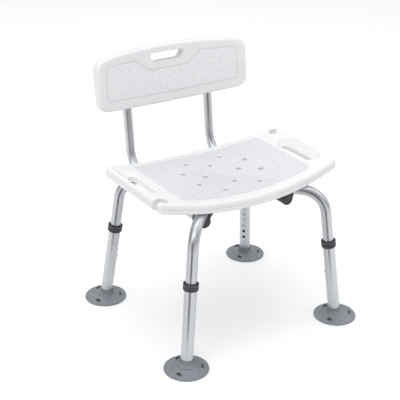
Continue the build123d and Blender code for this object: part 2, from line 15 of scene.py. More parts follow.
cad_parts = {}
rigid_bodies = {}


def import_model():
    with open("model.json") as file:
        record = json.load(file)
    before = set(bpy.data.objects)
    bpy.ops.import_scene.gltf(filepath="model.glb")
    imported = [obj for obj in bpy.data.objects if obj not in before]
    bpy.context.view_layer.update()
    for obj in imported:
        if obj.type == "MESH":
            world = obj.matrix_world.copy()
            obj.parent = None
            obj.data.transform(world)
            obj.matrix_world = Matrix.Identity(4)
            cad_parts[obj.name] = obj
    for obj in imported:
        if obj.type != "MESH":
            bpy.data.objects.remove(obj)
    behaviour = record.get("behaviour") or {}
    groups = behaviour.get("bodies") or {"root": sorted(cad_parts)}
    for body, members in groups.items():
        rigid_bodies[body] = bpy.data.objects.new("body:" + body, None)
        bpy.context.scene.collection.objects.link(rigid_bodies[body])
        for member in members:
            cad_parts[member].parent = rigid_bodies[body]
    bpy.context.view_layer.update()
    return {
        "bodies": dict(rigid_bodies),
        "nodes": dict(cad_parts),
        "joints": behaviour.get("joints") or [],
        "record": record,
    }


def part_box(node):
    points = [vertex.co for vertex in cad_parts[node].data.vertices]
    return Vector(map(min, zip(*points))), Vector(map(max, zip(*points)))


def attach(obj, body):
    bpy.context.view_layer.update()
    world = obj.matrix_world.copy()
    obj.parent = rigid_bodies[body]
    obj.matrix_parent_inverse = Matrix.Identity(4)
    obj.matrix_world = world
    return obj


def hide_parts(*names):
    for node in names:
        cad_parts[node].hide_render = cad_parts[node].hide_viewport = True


MM = 0.001
LOG = logging.getLogger("shower_chair")

Point = tuple[float, float, float]
Colour = tuple[float, float, float, float]
Profile = list[tuple[float, float]]     # (radius, height) pairs in millimetres
Plan = Callable[[float, float], float]  # from an angle and a radius to a new radius
Socket = bpy.types.NodeSocket
Shape = bmesh.types.BMesh
Placed = list[tuple[Shape, Matrix]]


class Corner(Enum):
    """The four legs, by the corner of the chair that they stand at."""

    FRONT_RIGHT = "front_right"
    BACK_RIGHT = "back_right"
    BACK_LEFT = "back_left"
    FRONT_LEFT = "front_left"


class Side(Enum):
    """The two back tubes."""

    LEFT = "left"
    RIGHT = "right"


# ---------------------------------------------------------------- node helpers


class Graph:
    """Short calls that add and wire nodes in one node tree."""

    def __init__(self, tree: bpy.types.NodeTree) -> None:
        """Keeps the tree.

        Args:
            tree: the node tree to fill.
        """
        self.tree = tree
        self.column = 0

    def add(self, kind: str, **settings: object) -> bpy.types.Node:
        """Adds one node.

        Args:
            kind: the node's Blender type.
            settings: properties of the node.

        Returns:
            The new node.
        """
        node = self.tree.nodes.new(kind)
        node.location = (220 * self.column, 0)
        self.column += 1
        for name, value in settings.items():
            setattr(node, name, value)
        return node

    def feed(self, value: object, socket: Socket) -> None:
        """Links a socket, or sets a plain value, on another socket.

        Args:
            value: a socket to link, or a number or tuple to set.
            socket: the input that takes it.
        """
        if isinstance(value, Socket):
            self.tree.links.new(value, socket)
        else:
            socket.default_value = value

    def math(self, operation: str, *values: object, clamp: bool = False) -> Socket:
        """A Math node.

        Args:
            operation: its operation.
            values: sockets or numbers for its inputs.
            clamp: whether the result stays within 0 and 1.

        Returns:
            Its output.
        """
        node = self.add("ShaderNodeMath", operation=operation, use_clamp=clamp)
        for value, socket in zip(values, node.inputs):
            self.feed(value, socket)
        return node.outputs[0]

    def ramp(
        self, value: object, low: object, high: object, start: object = 0.0, end: object = 1.0
    ) -> Socket:
        """A smooth step between two limits.

        Args:
            value: what is measured.
            low: the lower limit.
            high: the upper limit.
            start: the result below the lower limit.
            end: the result above the upper limit.

        Returns:
            The result's socket.
        """
        node = self.add("ShaderNodeMapRange", interpolation_type="SMOOTHSTEP")
        for source, socket in zip((value, low, high, start, end), node.inputs):
            self.feed(source, socket)
        return node.outputs[0]

    def mix(self, factor: object, first: object, second: object) -> Socket:
        """Mixes two colours.

        Args:
            factor: the share of the second.
            first: a colour or socket.
            second: a colour or socket.

        Returns:
            The mixed colour's socket.
        """
        node = self.add("ShaderNodeMix", data_type="RGBA")
        self.feed(factor, node.inputs[0])
        self.feed(first, node.inputs[6])
        self.feed(second, node.inputs[7])
        return node.outputs[2]

    def noise(self, place: Socket, scale: object, detail: float = 3.0) -> Socket:
        """A noise texture.

        Args:
            place: the coordinates it reads.
            scale: its scale per metre, a number or socket.
            detail: its octaves.

        Returns:
            Its value, around 0.5.
        """
        node = self.add("ShaderNodeTexNoise")
        self.feed(place, node.inputs["Vector"])
        self.feed(scale, node.inputs["Scale"])
        node.inputs["Detail"].default_value = detail
        return node.outputs["Fac"]


def new_group(
    name: str, inputs: dict[str, object], outputs: dict[str, str]
) -> tuple[bpy.types.NodeTree, Graph, dict[str, Socket], dict[str, Socket]]:
    """Starts a shader node group with named sockets.

    Args:
        name: the group's name.
        inputs: each input's name and its default, a number, a 3-tuple or a 4-tuple.
        outputs: each output's name and its socket type.

    Returns:
        The tree, its graph, the input sockets by name and the output sockets by name.
    """
    tree = bpy.data.node_groups.new(name, "ShaderNodeTree")
    kinds = {int: "NodeSocketFloat", float: "NodeSocketFloat"}
    for label, default in inputs.items():
        kind = kinds.get(type(default)) or ("NodeSocketVector" if len(default) == 3 else "NodeSocketColor")
        socket = tree.interface.new_socket(name=label, in_out="INPUT", socket_type=kind)
        socket.default_value = default
    for label, kind in outputs.items():
        tree.interface.new_socket(name=label, in_out="OUTPUT", socket_type=kind)
    graph = Graph(tree)
    entry = {socket.name: socket for socket in graph.add("NodeGroupInput").outputs if socket.name}
    leave = {socket.name: socket for socket in graph.add("NodeGroupOutput").inputs if socket.name}
    return tree, graph, entry, leave


def place_group(graph: Graph, tree: bpy.types.NodeTree, **values: object) -> bpy.types.Node:
    """Places a shared group in a material.

    Args:
        graph: the material's graph.
        tree: the group.
        values: its inputs by name, with _ for a space.

    Returns:
        The group node.
    """
    node = graph.add("ShaderNodeGroup")
    node.node_tree = tree
    for name, value in values.items():
        graph.feed(value, node.inputs[name.replace("_", " ")])
    return node


class Effects:
    """The effects that more than one finish uses, each built once."""

    def __init__(self) -> None:
        """Builds every shared group."""
        self.pebble = self._pebble()
        self.wear = self._wear()
        self.drawn = self._drawn()

    @staticmethod
    def _pebble() -> bpy.types.NodeTree:
        """Pebbled grain of moulded plastic, under a mask.

        Returns:
            The group. Outputs Height in millimetres and Crease, which is 1 between the pebbles and sets where
            painted shade goes.
        """
        tree, g, i, o = new_group(
            "pebble_grain",
            {"Place": (0.0, 0.0, 0.0), "Mask": 1.0, "Grain": 420.0, "Depth": 0.35},
            {"Height": "NodeSocketFloat", "Crease": "NodeSocketFloat"},
        )
        warp = g.add("ShaderNodeTexNoise")
        g.feed(i["Place"], warp.inputs["Vector"])
        warp.inputs["Scale"].default_value = 260.0
        bend = g.add("ShaderNodeVectorMath", operation="MULTIPLY_ADD")
        g.feed(warp.outputs["Color"], bend.inputs[0])
        bend.inputs[1].default_value = (0.0016, 0.0016, 0.0016)
        g.feed(i["Place"], bend.inputs[2])
        cell = g.add("ShaderNodeTexVoronoi", feature="SMOOTH_F1")
        g.feed(bend.outputs[0], cell.inputs["Vector"])
        g.feed(i["Grain"], cell.inputs["Scale"])
        cell.inputs["Smoothness"].default_value = 0.6
        dome = g.ramp(cell.outputs["Distance"], 0.15, 0.75, 1.0, 0.0)
        raised = g.math("MULTIPLY", dome, i["Mask"])
        g.feed(g.math("MULTIPLY", raised, i["Depth"]), o["Height"])
        g.feed(g.math("MULTIPLY", g.math("SUBTRACT", 1.0, dome), i["Mask"]), o["Crease"])
        return tree

    @staticmethod
    def _wear() -> bpy.types.NodeTree:
        """Slow variation of a moulded or rubber surface: faint mottling and handling marks.

        Returns:
            The group. Outputs Tone and Rub, both from 0 to 1.
        """
        tree, g, i, o = new_group(
            "handling_marks",
            {"Place": (0.0, 0.0, 0.0), "Size": 14.0},
            {"Tone": "NodeSocketFloat", "Rub": "NodeSocketFloat"},
        )
        broad = g.noise(i["Place"], i["Size"], 5.0)
        fine = g.noise(i["Place"], g.math("MULTIPLY", i["Size"], 9.0), 6.0)
        g.feed(g.ramp(broad, 0.3, 0.7), o["Tone"])
        g.feed(g.ramp(fine, 0.45, 0.75), o["Rub"])
        return tree

    @staticmethod
    def _drawn() -> bpy.types.NodeTree:
        """Fine lines along a drawn tube. Z of Place runs along the tube.

        Returns:
            The group. Outputs Line, around 0.5, and Scuff from 0 to 1.
        """
        tree, g, i, o = new_group(
            "drawn_lines",
            {"Place": (0.0, 0.0, 0.0), "Fineness": 900.0},
            {"Line": "NodeSocketFloat", "Scuff": "NodeSocketFloat"},
        )
        stretch = g.add("ShaderNodeVectorMath", operation="MULTIPLY")
        g.feed(i["Place"], stretch.inputs[0])
        stretch.inputs[1].default_value = (1.0, 1.0, 0.012)
        g.feed(g.noise(stretch.outputs[0], i["Fineness"], 2.0), o["Line"])
        rub = g.noise(i["Place"], 55.0, 6.0)
        g.feed(g.ramp(rub, 0.5, 0.72), o["Scuff"])
        return tree


# ---------------------------------------------------------------- finishes


def start_material(name: str) -> tuple[bpy.types.Material, Graph, bpy.types.Node, Socket]:
    """A material with a Principled shader and object coordinates.

    Args:
        name: the material's name.

    Returns:
        The material, its graph, the shader and the coordinates' socket.
    """
    material = bpy.data.materials.new(name)
    material.use_nodes = True
    material.node_tree.nodes.clear()
    graph = Graph(material.node_tree)
    place = graph.add("ShaderNodeTexCoord").outputs["Object"]
    shader = graph.add("ShaderNodeBsdfPrincipled")
    out = graph.add("ShaderNodeOutputMaterial")
    graph.feed(shader.outputs[0], out.inputs[0])
    return material, graph, shader, place


def bump(graph: Graph, height: Socket, distance: float, strength: float = 1.0) -> Socket:
    """A Bump node.

    Args:
        graph: the material's graph.
        height: the height's socket.
        distance: metres for a height of 1.
        strength: its strength.

    Returns:
        The normal's socket.
    """
    node = graph.add("ShaderNodeBump")
    node.inputs["Strength"].default_value = strength
    node.inputs["Distance"].default_value = distance
    graph.feed(height, node.inputs["Height"])
    return node.outputs["Normal"]


@dataclass(frozen=True)
class TubeFinish:
    """Satin anodised aluminium tube with faint drawing lines."""

    name: str = "satin_aluminium"
    colour: Colour = (0.56, 0.57, 0.585, 1.0)
    dull: Colour = (0.5, 0.51, 0.53, 1.0)
    roughness: float = 0.3

    def make(self, effects: Effects, axis: Vector, suffix: str = "") -> bpy.types.Material:
        """Builds the material.

        Args:
            effects: the shared effects.
            axis: the tube's direction, which the drawing lines follow.
            suffix: added to the name.

        Returns:
            The material.
        """
        material, g, shader, place = start_material(self.name + suffix)
        turn = g.add("ShaderNodeMapping")
        g.feed(place, turn.inputs["Vector"])
        turn.inputs["Rotation"].default_value = axis.rotation_difference(Vector((0, 0, 1))).to_euler()
        lines = place_group(g, effects.drawn, Place=turn.outputs[0])
        marks = place_group(g, effects.wear, Place=place, Size=11.0)
        tone = g.math("MULTIPLY", marks.outputs["Tone"], 0.5)
        g.feed(g.mix(tone, self.colour, self.dull), shader.inputs["Base Color"])
        rough = g.math("MULTIPLY_ADD", lines.outputs["Line"], 0.14, self.roughness - 0.05)
        g.feed(g.math("MULTIPLY_ADD", lines.outputs["Scuff"], 0.03, rough), shader.inputs["Roughness"])
        g.feed(bump(g, lines.outputs["Line"], 0.00001, 0.6), shader.inputs["Normal"])
        shader.inputs["Metallic"].default_value = 1.0
        return material


@dataclass(frozen=True)
class PlainFinish:
    """A moulded plastic, rubber or steel surface with grain and handling marks."""

    name: str
    colour: Colour
    worn: Colour
    roughness: float
    grain: float = 1400.0
    grain_depth: float = 0.00003
    metallic: float = 0.0
    specular: float = 0.5

    def make(self, effects: Effects) -> bpy.types.Material:
        """Builds the material.

        Args:
            effects: the shared effects.

        Returns:
            The material.
        """
        material, g, shader, place = start_material(self.name)
        marks = place_group(g, effects.wear, Place=place)
        tone = g.math("MULTIPLY", marks.outputs["Tone"], 0.5)
        tone = g.math("MULTIPLY_ADD", marks.outputs["Rub"], 0.5, tone)
        g.feed(g.mix(tone, self.colour, self.worn), shader.inputs["Base Color"])
        g.feed(g.math("MULTIPLY_ADD", tone, 0.14, self.roughness - 0.05), shader.inputs["Roughness"])
        g.feed(bump(g, g.noise(place, self.grain, 2.0), self.grain_depth, 0.8), shader.inputs["Normal"])
        shader.inputs["Metallic"].default_value = self.metallic
        shader.inputs["Specular IOR Level"].default_value = self.specular
        return material


@dataclass(frozen=True)
class PanelFinish:
    """Pale blow-moulded plastic, pebbled on the panel inside a grooved line and smooth outside it, with a
    painted tone on the pebbled field and painted shade in the creases between the pebbles.
    """

    name: str
    # The field colour paints light and shade on the pebbled field, and the colour below it paints shade in
    # the creases between pebbles.
    painted_field_tone: Colour
    painted_crease_shade: Colour
    colour: Colour = (0.75, 0.752, 0.757, 1.0)
    worn: Colour = (0.72, 0.724, 0.731, 1.0)
    roughness: float = 0.4

    def make(self, effects: Effects, mask: "PanelMask") -> bpy.types.Material:
        """Builds the material.

        Args:
            effects: the shared effects.
            mask: where the pebbled panel lies.

        Returns:
            The material.
        """
        material, g, shader, place = start_material(self.name)
        marks = place_group(g, effects.wear, Place=place, Size=7.0)
        inside = mask.wire(g, place)
        grain = place_group(g, effects.pebble, Place=place, Mask=inside)
        pale = g.mix(marks.outputs["Tone"], self.colour, self.worn)
        # Painted tone on the pebbled field: darker than the border on the seat as painted shade, lighter on
        # the backrest as painted light.
        pale = g.mix(inside, pale, self.painted_field_tone)
        # Painted shade in the creases between the pebbles.
        shade = g.math("MULTIPLY", grain.outputs["Crease"], 0.75)
        g.feed(g.mix(shade, pale, self.painted_crease_shade), shader.inputs["Base Color"])
        rough = g.math("MULTIPLY_ADD", marks.outputs["Rub"], 0.1, self.roughness)
        g.feed(g.math("MULTIPLY_ADD", inside, 0.12, rough), shader.inputs["Roughness"])
        fine = g.math("MULTIPLY", g.noise(place, 1500.0, 2.0), 0.02)
        height = g.math("ADD", grain.outputs["Height"], fine)
        g.feed(bump(g, height, MM, 0.9), shader.inputs["Normal"])
        return material


@dataclass(frozen=True)
class PanelMask:
    """The pebbled field of a panel, measured from the panel's own middle, in metres."""

    origin: Vector
    tilt: float                     # degrees about X
    half_length: float
    low: float                      # the lower edge, at the middle
    high: tuple[float, float]       # the upper edge, at the middle and beyond its step
    steps: tuple[float, float]      # where that step starts and ends, from the middle
    bows: tuple[float, float]       # how far the lower and upper edges bow at the ends
    flat: bool                      # lies flat, or else stands up
    soft: float = 0.0012            # width of the mask's edge

    def wire(self, g: Graph, place: Socket) -> Socket:
        """Wires the mask.

        Args:
            g: the material's graph.
            place: object coordinates.

        Returns:
            1 on the pebbled field and 0 outside it.
        """
        move = g.add("ShaderNodeVectorMath", operation="SUBTRACT")
        g.feed(place, move.inputs[0])
        move.inputs[1].default_value = self.origin
        turn = g.add("ShaderNodeMapping")
        g.feed(move.outputs[0], turn.inputs["Vector"])
        turn.inputs["Rotation"].default_value = (radians(self.tilt), 0.0, 0.0)
        parts = g.add("ShaderNodeSeparateXYZ")
        g.feed(turn.outputs[0], parts.inputs[0])
        x = g.math("ABSOLUTE", parts.outputs["X"])
        across = parts.outputs["Y"] if self.flat else parts.outputs["Z"]
        square = g.math("POWER", g.math("DIVIDE", x, self.half_length), 2.0)
        shoulder = g.add("ShaderNodeMapRange")
        for value, socket in zip((x, *self.steps, *self.high), shoulder.inputs):
            g.feed(value, socket)
        top = g.math("MULTIPLY_ADD", square, -self.bows[1], shoulder.outputs[0])
        bottom = g.math("MULTIPLY_ADD", square, self.bows[0], self.low)
        mask = g.ramp(g.math("SUBTRACT", self.half_length, x), 0.0, self.soft)
        mask = g.math("MULTIPLY", mask, g.ramp(g.math("SUBTRACT", top, across), 0.0, self.soft))
        mask = g.math("MULTIPLY", mask, g.ramp(g.math("SUBTRACT", across, bottom), 0.0, self.soft))
        facing = g.add("ShaderNodeSeparateXYZ")
        g.feed(g.add("ShaderNodeTexCoord").outputs["Normal"], facing.inputs[0])
        side = facing.outputs["Z"] if self.flat else g.math("MULTIPLY", facing.outputs["Y"], -1.0)
        return g.math("MULTIPLY", mask, g.ramp(side, 0.75, 0.85))


# ---------------------------------------------------------------- studio


@dataclass
class Studio:
    """A pale floor, soft lights and the camera."""

    floor_size: float = 40.0
    target: Vector = field(default_factory=lambda: Vector((-0.0427, 0.0106, 0.2917)))
    azimuth: float = -33.86
    elevation: float = 24.99
    roll: float = 0.98
    distance: float = 2.39
    lens: float = 89.7
    key_power: float = 25.0
    fill_power: float = 9.0
    top_power: float = 29.0
    room_light: float = 1.03
    flag_bearing: float = -10.0
    flag_reach: float = 0.3
    flag_height: float = 0.26
    flag_size: tuple[float, float] = (0.66, 0.2)
    wall_shade: float = 0.34
    wall_bands: tuple[Point, ...] = (       # bearing from the camera, half width, added shade
        (-8.0, 26.0, -0.26),
        (38.0, 20.0, 0.7),
        (-62.0, 26.0, 0.6),
    )

    def camera(self) -> bpy.types.Object:
        """The camera.

        Returns:
            Its object, made the scene's camera.
        """
        a, e, r = radians(self.azimuth), radians(self.elevation), radians(self.roll)
        back = Vector((sin(a) * cos(e), -cos(a) * cos(e), sin(e)))
        right = Vector((cos(a), sin(a), 0.0))
        up = back.cross(right)
        turned_right = cos(r) * right + sin(r) * up
        turned_up = -sin(r) * right + cos(r) * up
        data = bpy.data.cameras.new("camera")
        data.lens = self.lens
        data.sensor_width = 36.0
        data.clip_end = 100.0
        camera = bpy.data.objects.new("camera", data)
        pose = Matrix((turned_right, turned_up, back)).transposed().to_4x4()
        camera.matrix_world = Matrix.Translation(self.target + back * self.distance) @ pose
        bpy.context.scene.collection.objects.link(camera)
        bpy.context.scene.camera = camera
        return camera

    @staticmethod
    def sheet(
        name: str, size: tuple[float, float], place: Matrix, material: bpy.types.Material
    ) -> bpy.types.Object:
        """A flat rectangle.

        Args:
            name: its name.
            size: its length along the X and Y of its place, in metres.
            place: its middle and directions.
            material: its material.

        Returns:
            Its object.
        """
        shape = bmesh.new()
        bmesh.ops.create_grid(shape, x_segments=1, y_segments=1, size=0.5)
        shape.transform(place @ Matrix.Diagonal((*size, 1.0, 1.0)))
        mesh = bpy.data.meshes.new(name)
        shape.to_mesh(mesh)
        shape.free()
        mesh.materials.append(material)
        flat = bpy.data.objects.new(name, mesh)
        bpy.context.scene.collection.objects.link(flat)
        return flat

    def floor(self) -> bpy.types.Object:
        """The floor.

        Returns:
            Its object.
        """
        material, g, shader, place = start_material("studio_floor")
        shade = g.noise(place, 3.0, 2.0)
        g.feed(g.mix(shade, (0.93, 0.93, 0.93, 1.0), (0.95, 0.95, 0.95, 1.0)), shader.inputs["Base Color"])
        shader.inputs["Roughness"].default_value = 0.75
        shader.inputs["Specular IOR Level"].default_value = 0.1
        floor = self.sheet("floor", (self.floor_size, self.floor_size), Matrix(), material)
        return floor

    def flags(self) -> None:
        """Narrow dark cards that only the tubes' reflections show, one before each leg."""
        a = radians(self.azimuth + self.flag_bearing)
        out = Vector((sin(a), -cos(a), 0.0))
        material, g, shader, place = start_material("studio_flag")
        shade = g.noise(place, 4.0, 2.0)
        g.feed(g.mix(shade, (0.1, 0.1, 0.105, 1.0), (0.14, 0.14, 0.145, 1.0)), shader.inputs["Base Color"])
        shader.inputs["Roughness"].default_value = 0.9
        for corner in Corner:
            foot = middle(f"{corner.value}_foot")
            centre = Vector((foot.x, foot.y, self.flag_height)) + out * self.flag_reach
            stand = along(centre, out, Vector((0, 0, 1)))
            card = self.sheet("flag_" + corner.value, self.flag_size, stand, material)
            for ray in ("camera", "diffuse", "shadow", "transmission"):
                setattr(card, "visible_" + ray, False)

    @staticmethod
    def soft_box(name: str, place: Point, size: tuple[float, float], power: float) -> None:
        """A rectangular area light that faces the chair.

        Args:
            name: the light's name.
            place: where it stands.
            size: its width and height.
            power: its power in watts.
        """
        data = bpy.data.lights.new(name, "AREA")
        data.shape = "RECTANGLE"
        data.size, data.size_y = size
        data.energy = power
        light = bpy.data.objects.new(name, data)
        aim = Vector((0.0, 0.0, 0.3)) - Vector(place)
        light.matrix_world = Matrix.Translation(place) @ aim.to_track_quat("-Z", "Y").to_matrix().to_4x4()
        bpy.context.scene.collection.objects.link(light)

    def lights(self) -> None:
        """The soft boxes and the room's own light."""
        self.soft_box("key_light", (-2.2, -1.4, 2.4), (2.4, 2.0), self.key_power)
        self.soft_box("fill_light", (2.4, -1.2, 1.6), (1.6, 2.4), self.fill_power)
        self.soft_box("top_light", (0.0, 0.6, 3.0), (3.0, 3.0), self.top_power)
        world = bpy.data.worlds.new("studio")
        world.use_nodes = True
        g = Graph(world.node_tree)
        way = g.add("ShaderNodeTexCoord").outputs["Generated"]
        parts = g.add("ShaderNodeSeparateXYZ")
        g.feed(way, parts.inputs[0])
        walls = self.wall_shade
        for bearing, width, shade in self.wall_bands:
            a = radians(self.azimuth + bearing)
            across = g.add("ShaderNodeVectorMath", operation="DOT_PRODUCT")
            g.feed(way, across.inputs[0])
            across.inputs[1].default_value = (sin(a), -cos(a), 0.0)
            near = g.ramp(across.outputs["Value"], cos(radians(width)), cos(radians(0.45 * width)))
            walls = g.math("MULTIPLY_ADD", near, shade, walls)
        ceiling = g.ramp(parts.outputs["Z"], 0.2, 0.6)
        light = g.math("MULTIPLY_ADD", ceiling, g.math("SUBTRACT", 1.0, walls), walls)
        background = world.node_tree.nodes["Background"]
        g.feed(g.mix(light, (0.0, 0.0, 0.0, 1.0), (0.97, 0.985, 1.0, 1.0)), background.inputs["Color"])
        background.inputs["Strength"].default_value = self.room_light
        bpy.context.scene.world = world

    def build(self) -> None:
        """Everything round the chair."""
        self.floor()
        self.flags()
        self.lights()
        self.camera()
        bpy.context.scene.view_settings.view_transform = "Standard"


# ---------------------------------------------------------------- modelling helpers


def rounded(corners: Profile, radius: float, parts: int = 4) -> Profile:
    """Rounds the inner corners of a profile.

    Args:
        corners: (radius, height) pairs in millimetres.
        radius: how far along each side a corner's round reaches.
        parts: steps in each round.

    Returns:
        The profile with its corners rounded and its two ends kept.
    """
    points = [corners[0]]
    for before, corner, after in zip(corners, corners[1:], corners[2:]):
        a, c, b = Vector(before), Vector(corner), Vector(after)
        reach = min(radius, 0.45 * (a - c).length, 0.45 * (b - c).length)
        start, end = c + (a - c).normalized() * reach, c + (b - c).normalized() * reach
        for i in range(parts + 1):
            t = i / parts
            points.append(tuple(start * (1 - t) ** 2 + c * 2 * t * (1 - t) + end * t**2))
    return points + [corners[-1]]


def lathe(profile: Profile, steps: int = 72) -> Shape:
    """Turns a profile about Z.

    Args:
        profile: (radius, height) pairs in millimetres. Ends off the axis are joined to each other.
        steps: segments round the axis.

    Returns:
        The turned shape, in metres.
    """
    shape = bmesh.new()
    verts = [shape.verts.new((r * MM, 0.0, z * MM)) for r, z in profile]
    pairs = list(zip(verts, verts[1:]))
    if profile[0][0] > 0:
        pairs.append((verts[-1], verts[0]))
    edges = [shape.edges.new(pair) for pair in pairs]
    bmesh.ops.spin(
        shape, geom=verts + edges, cent=(0, 0, 0), axis=(0, 0, 1), angle=2 * pi, steps=steps, use_merge=True
    )
    bmesh.ops.remove_doubles(shape, verts=shape.verts, dist=0.01 * MM)
    bmesh.ops.recalc_face_normals(shape, faces=shape.faces)
    return shape


def reshape(shape: Shape, low: float, high: float, inner: float, outer: float, plan: Plan) -> None:
    """Gives one part of a turned shape another plan.

    Args:
        shape: the turned shape.
        low: lowest height that changes, in millimetres.
        high: highest height that changes.
        inner: smallest radius that changes.
        outer: largest radius that changes.
        plan: a function from an angle and a radius to the new radius, in millimetres.
    """
    for vert in shape.verts:
        radius = hypot(vert.co.x, vert.co.y) / MM
        if low <= vert.co.z / MM <= high and inner <= radius <= outer:
            scale = plan(atan2(vert.co.y, vert.co.x), radius) / radius
            vert.co.x *= scale
            vert.co.y *= scale


def hexagon(apothem: float) -> Plan:
    """A six-sided plan.

    Args:
        apothem: half the size across its flats, in millimetres.

    Returns:
        The plan, which keeps a smaller round inside it.
    """

    def plan(angle: float, radius: float) -> float:
        """The radius, or less where a flat is nearer."""
        turn = (angle + pi / 6) % (pi / 3) - pi / 6
        return min(radius, apothem / cos(turn))

    return plan


def crosswise(half_width: float) -> Plan:
    """A cross-shaped plan.

    Args:
        half_width: half the width of its arms, in millimetres.

    Returns:
        The plan.
    """

    def plan(angle: float, radius: float) -> float:
        """The radius, or less where an arm's side is nearer."""
        return min(radius, half_width / max(min(abs(cos(angle)), abs(sin(angle))), 0.01))

    return plan


def threads(radius: float, top: float, bottom: float, pitch: float = 0.8, depth: float = 0.35) -> Profile:
    """Profile of a threaded shank, from its top down.

    Args:
        radius: outer radius of the thread, in millimetres.
        top: its upper end.
        bottom: its lower end.
        pitch: from crest to crest.
        depth: of the thread.

    Returns:
        The profile's points.
    """
    points = []
    for i in range(int((top - bottom) / pitch)):
        points += [(radius, top - i * pitch), (radius - depth, top - (i + 0.5) * pitch)]
    return points


def snap_button(tip: float, flange: float, radius: float = 3.7) -> Shape:
    """Domed snap button on its flange.

    Args:
        tip: from the tube's axis to its tip, in millimetres.
        flange: from the tube's axis to the outside of its flange.
        radius: of the button.

    Returns:
        The shape with its tip towards Z, from the tube's axis.
    """
    outline = [(0, tip), (0.45 * radius, tip - 0.12), (0.8 * radius, tip - 0.7), (radius, tip - 1.9)]
    outline += [(radius, flange), (radius + 0.8, flange - 0.1), (radius + 0.8, flange - 0.85)]
    outline += [(0, flange - 0.85)]
    return lathe(rounded(outline, 0.4, 3), 48)


def along(start: Vector, axis: Vector, side: Vector) -> Matrix:
    """A place with Z along an axis.

    Args:
        start: its origin, in metres.
        axis: its Z direction.
        side: roughly its X direction.

    Returns:
        The place.
    """
    z = axis.normalized()
    y = z.cross(side).normalized()
    return Matrix.Translation(start) @ Matrix((y.cross(z), y, z)).transposed().to_4x4()


def middle(node: str) -> Vector:
    """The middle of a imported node's box.

    Args:
        node: the node's name.

    Returns:
        The point, in metres.
    """
    low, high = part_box(node)
    return (low + high) / 2


PLAIN_FINISHES = {
    "rubber": PlainFinish(
        "grey_rubber", (0.2, 0.213, 0.235, 1), (0.25, 0.262, 0.285, 1), 0.5, 900.0, 0.00006
    ),
    "black": PlainFinish("collar_plastic", (0.035, 0.037, 0.042, 1), (0.06, 0.062, 0.068, 1), 0.4),
    "bracket": PlainFinish(
        "bracket_plastic", (0.03, 0.031, 0.034, 1), (0.052, 0.053, 0.057, 1), 0.48, 800.0, 0.00008
    ),
    "steel": PlainFinish(
        "stainless_steel", (0.62, 0.62, 0.63, 1), (0.5, 0.5, 0.51, 1), 0.26, 2600.0, 0.00001, metallic=1.0
    ),
    "spring": PlainFinish(
        "spring_steel", (0.42, 0.43, 0.45, 1), (0.33, 0.33, 0.35, 1), 0.34, 2200.0, 0.00001, metallic=1.0
    ),
    "zinc": PlainFinish(
        "zinc_plate", (0.55, 0.56, 0.58, 1), (0.44, 0.45, 0.47, 1), 0.38, 2000.0, 0.00002, metallic=1.0
    ),
}


@dataclass
class Finishes:
    """The materials that don't depend on a piece's place."""

    effects: Effects
    rubber: bpy.types.Material = field(init=False)
    black: bpy.types.Material = field(init=False)
    bracket: bpy.types.Material = field(init=False)
    steel: bpy.types.Material = field(init=False)
    spring: bpy.types.Material = field(init=False)
    zinc: bpy.types.Material = field(init=False)

    def __post_init__(self) -> None:
        """Makes each plain finish."""
        for name, finish in PLAIN_FINISHES.items():
            setattr(self, name, finish.make(self.effects))


# ---------------------------------------------------------------- the chair


def dress(name: str, material: bpy.types.Material) -> None:
    """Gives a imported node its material.

    Args:
        name: the node's name.
        material: its material.
    """
    node = bpy.data.objects[name]
    node.data.materials.clear()
    node.data.materials.append(material)
    LOG.info("dressed %s with %s", name, material.name)


@dataclass
class Piece:
    """A modelled piece that rides on a body of the frame."""

    name: str
    body: str
    material: bpy.types.Material
    slot: str
    replaces: tuple[str, ...] = ()
    sharp: float = 32.0

    def build(self, shapes: Placed) -> bpy.types.Object:
        """Joins shapes into the finished piece.

        Args:
            shapes: each shape and its place in the row frame. The shapes are freed.

        Returns:
            The piece's object, at the origin with its place in its mesh.
        """
        whole = bmesh.new()
        for shape, place in shapes:
            shape.transform(place)
            part = bpy.data.meshes.new("part")
            shape.to_mesh(part)
            whole.from_mesh(part)
            bpy.data.meshes.remove(part)
            shape.free()
        mesh = bpy.data.meshes.new(self.name)
        whole.to_mesh(mesh)
        whole.free()
        mesh.polygons.foreach_set("use_smooth", [True] * len(mesh.polygons))
        mesh.set_sharp_from_angle(angle=radians(self.sharp))
        mesh.materials.append(self.material)
        piece = bpy.data.objects.new(self.name, mesh)
        bpy.context.scene.collection.objects.link(piece)
        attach(piece, self.body)
        if self.replaces:
            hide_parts(*self.replaces)
        LOG.info("built %s, %d faces", self.name, len(mesh.polygons))
        return piece


